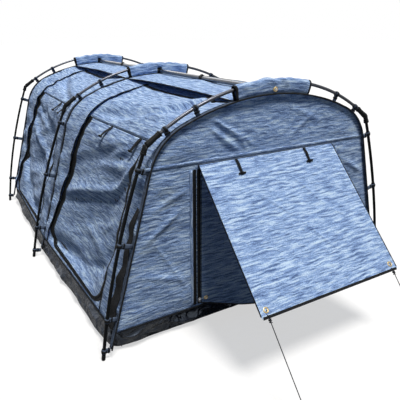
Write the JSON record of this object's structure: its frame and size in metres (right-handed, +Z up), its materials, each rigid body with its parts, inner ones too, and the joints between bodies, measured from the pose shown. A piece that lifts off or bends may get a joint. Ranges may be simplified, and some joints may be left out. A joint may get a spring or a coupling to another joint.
{
  "type": "swag tent",
  "caption": "Low free-standing canvas swag tent on a tub floor, slung in jointed hoops under a ridge, with a propped front awning, side flaps and a mattress.",
  "frame": {"origin": "on the ground at the centre of the tub's underside, below the middle hoop", "axes": "+Z up; the awning and door face -Y; +X is the right-hand side seen from the front"},
  "size_m": [1.7172, 2.8724, 1.07],
  "materials": {
    "canvas": "heathered blue-grey ripstop canvas",
    "coated_cloth": "black coated cloth with a soft shine",
    "foam": "woven mattress cover",
    "webbing": "dark woven webbing",
    "insect_mesh": "fine black mesh",
    "guy_cord": "braided cord",
    "black_alloy": "black anodised tube",
    "moulded_black": "satin moulded plastic",
    "brass": "polished brass",
    "nickel": "nickel plated"
  },
  "bodies": {
    "shell": {"tub": "coated_cloth", "mattress": "foam", "rear_wall": "canvas", "front_wall": "canvas", "front_bay_canvas": "canvas", "rear_bay_canvas": "canvas", "spine_cover_front": "canvas", "spine_cover_rear": "canvas", "crown_pole_front": "black_alloy", "arch_binding_front": "webbing", "pole_sleeve_front": "canvas", "ridge_hub_front": "moulded_black", "leg_pole_front_left": "black_alloy", "elbow_front_left": "moulded_black", "leg_pole_front_right": "black_alloy", "elbow_front_right": "moulded_black", "crown_pole_middle": "black_alloy", "arch_binding_middle": "webbing", "pole_sleeve_middle": "canvas", "ridge_hub_middle": "moulded_black", "leg_pole_middle_left": "black_alloy", "elbow_middle_left": "moulded_black", "leg_pole_middle_right": "black_alloy", "elbow_middle_right": "moulded_black", "crown_pole_rear": "black_alloy", "arch_binding_rear": "webbing", "pole_sleeve_rear": "canvas", "ridge_hub_rear": "moulded_black", "leg_pole_rear_left": "black_alloy", "elbow_rear_left": "moulded_black", "leg_pole_rear_right": "black_alloy", "elbow_rear_right": "moulded_black", "ridge_pole_front": "black_alloy", "side_mesh_front_left": "insect_mesh", "side_mesh_front_right": "insect_mesh", "ridge_pole_rear": "black_alloy", "side_mesh_rear_left": "insect_mesh", "side_mesh_rear_right": "insect_mesh"},
    "awning": {"awning": "canvas", "awning_eyelet_left": "brass", "awning_toggle_left": "webbing", "guy_rope_left": "guy_cord", "awning_eyelet_right": "brass", "awning_toggle_right": "webbing", "guy_rope_right": "guy_cord"},
    "inner_door": {"inner_door": "canvas"},
    "flap_front_left": {"side_flap_front_left": "canvas", "flap_toggle_front_left_a": "webbing", "flap_toggle_front_left_b": "webbing"},
    "flap_front_right": {"side_flap_front_right": "canvas", "flap_toggle_front_right_a": "webbing", "flap_toggle_front_right_b": "webbing"},
    "flap_rear_left": {"side_flap_rear_left": "canvas", "flap_toggle_rear_left_a": "webbing", "flap_toggle_rear_left_b": "webbing"},
    "flap_rear_right": {"side_flap_rear_right": "canvas", "flap_toggle_rear_right_a": "webbing", "flap_toggle_rear_right_b": "webbing"},
    "slider_left": {"zip_slider_left": "nickel"},
    "slider_right": {"zip_slider_right": "nickel"}
  },
  "joints": [
    {"name": "awning_hinge", "type": "hinge", "parent": "shell", "child": "awning", "pos_m": [0, -1.0803, 0.757], "axis": [-1, 0, 0], "range_deg": [-37, 46]},
    {"name": "door_hinge", "type": "hinge", "parent": "shell", "child": "inner_door", "pos_m": [0, -1.0786, 0.745], "axis": [-1, 0, 0], "range_deg": [0, 30]},
    {"name": "flap_hinge_front_left", "type": "hinge", "parent": "shell", "child": "flap_front_left", "pos_m": [-0.50238, -0.939, 0.84178], "axis": [-0.0085, 0.9998, -0.0173], "range_deg": [0, 100]},
    {"name": "flap_hinge_front_right", "type": "hinge", "parent": "shell", "child": "flap_front_right", "pos_m": [0.50238, -0.939, 0.84178], "axis": [-0.0085, -0.9998, 0.0173], "range_deg": [0, 100]},
    {"name": "flap_hinge_rear_left", "type": "hinge", "parent": "shell", "child": "flap_rear_left", "pos_m": [-0.51693, 0.136, 0.8348], "axis": [0.0277, 0.9996, 0], "range_deg": [0, 100]},
    {"name": "flap_hinge_rear_right", "type": "hinge", "parent": "shell", "child": "flap_rear_right", "pos_m": [0.51693, 0.136, 0.8348], "axis": [0.0277, -0.9996, 0], "range_deg": [0, 100]},
    {"name": "zip_slide_left", "type": "slide", "parent": "shell", "child": "slider_left", "axis": [0, 0, 1], "range_m": [0, 0.58]},
    {"name": "zip_slide_right", "type": "slide", "parent": "shell", "child": "slider_right", "axis": [0, 0, 1], "range_m": [0, 0.58]}
  ]
}
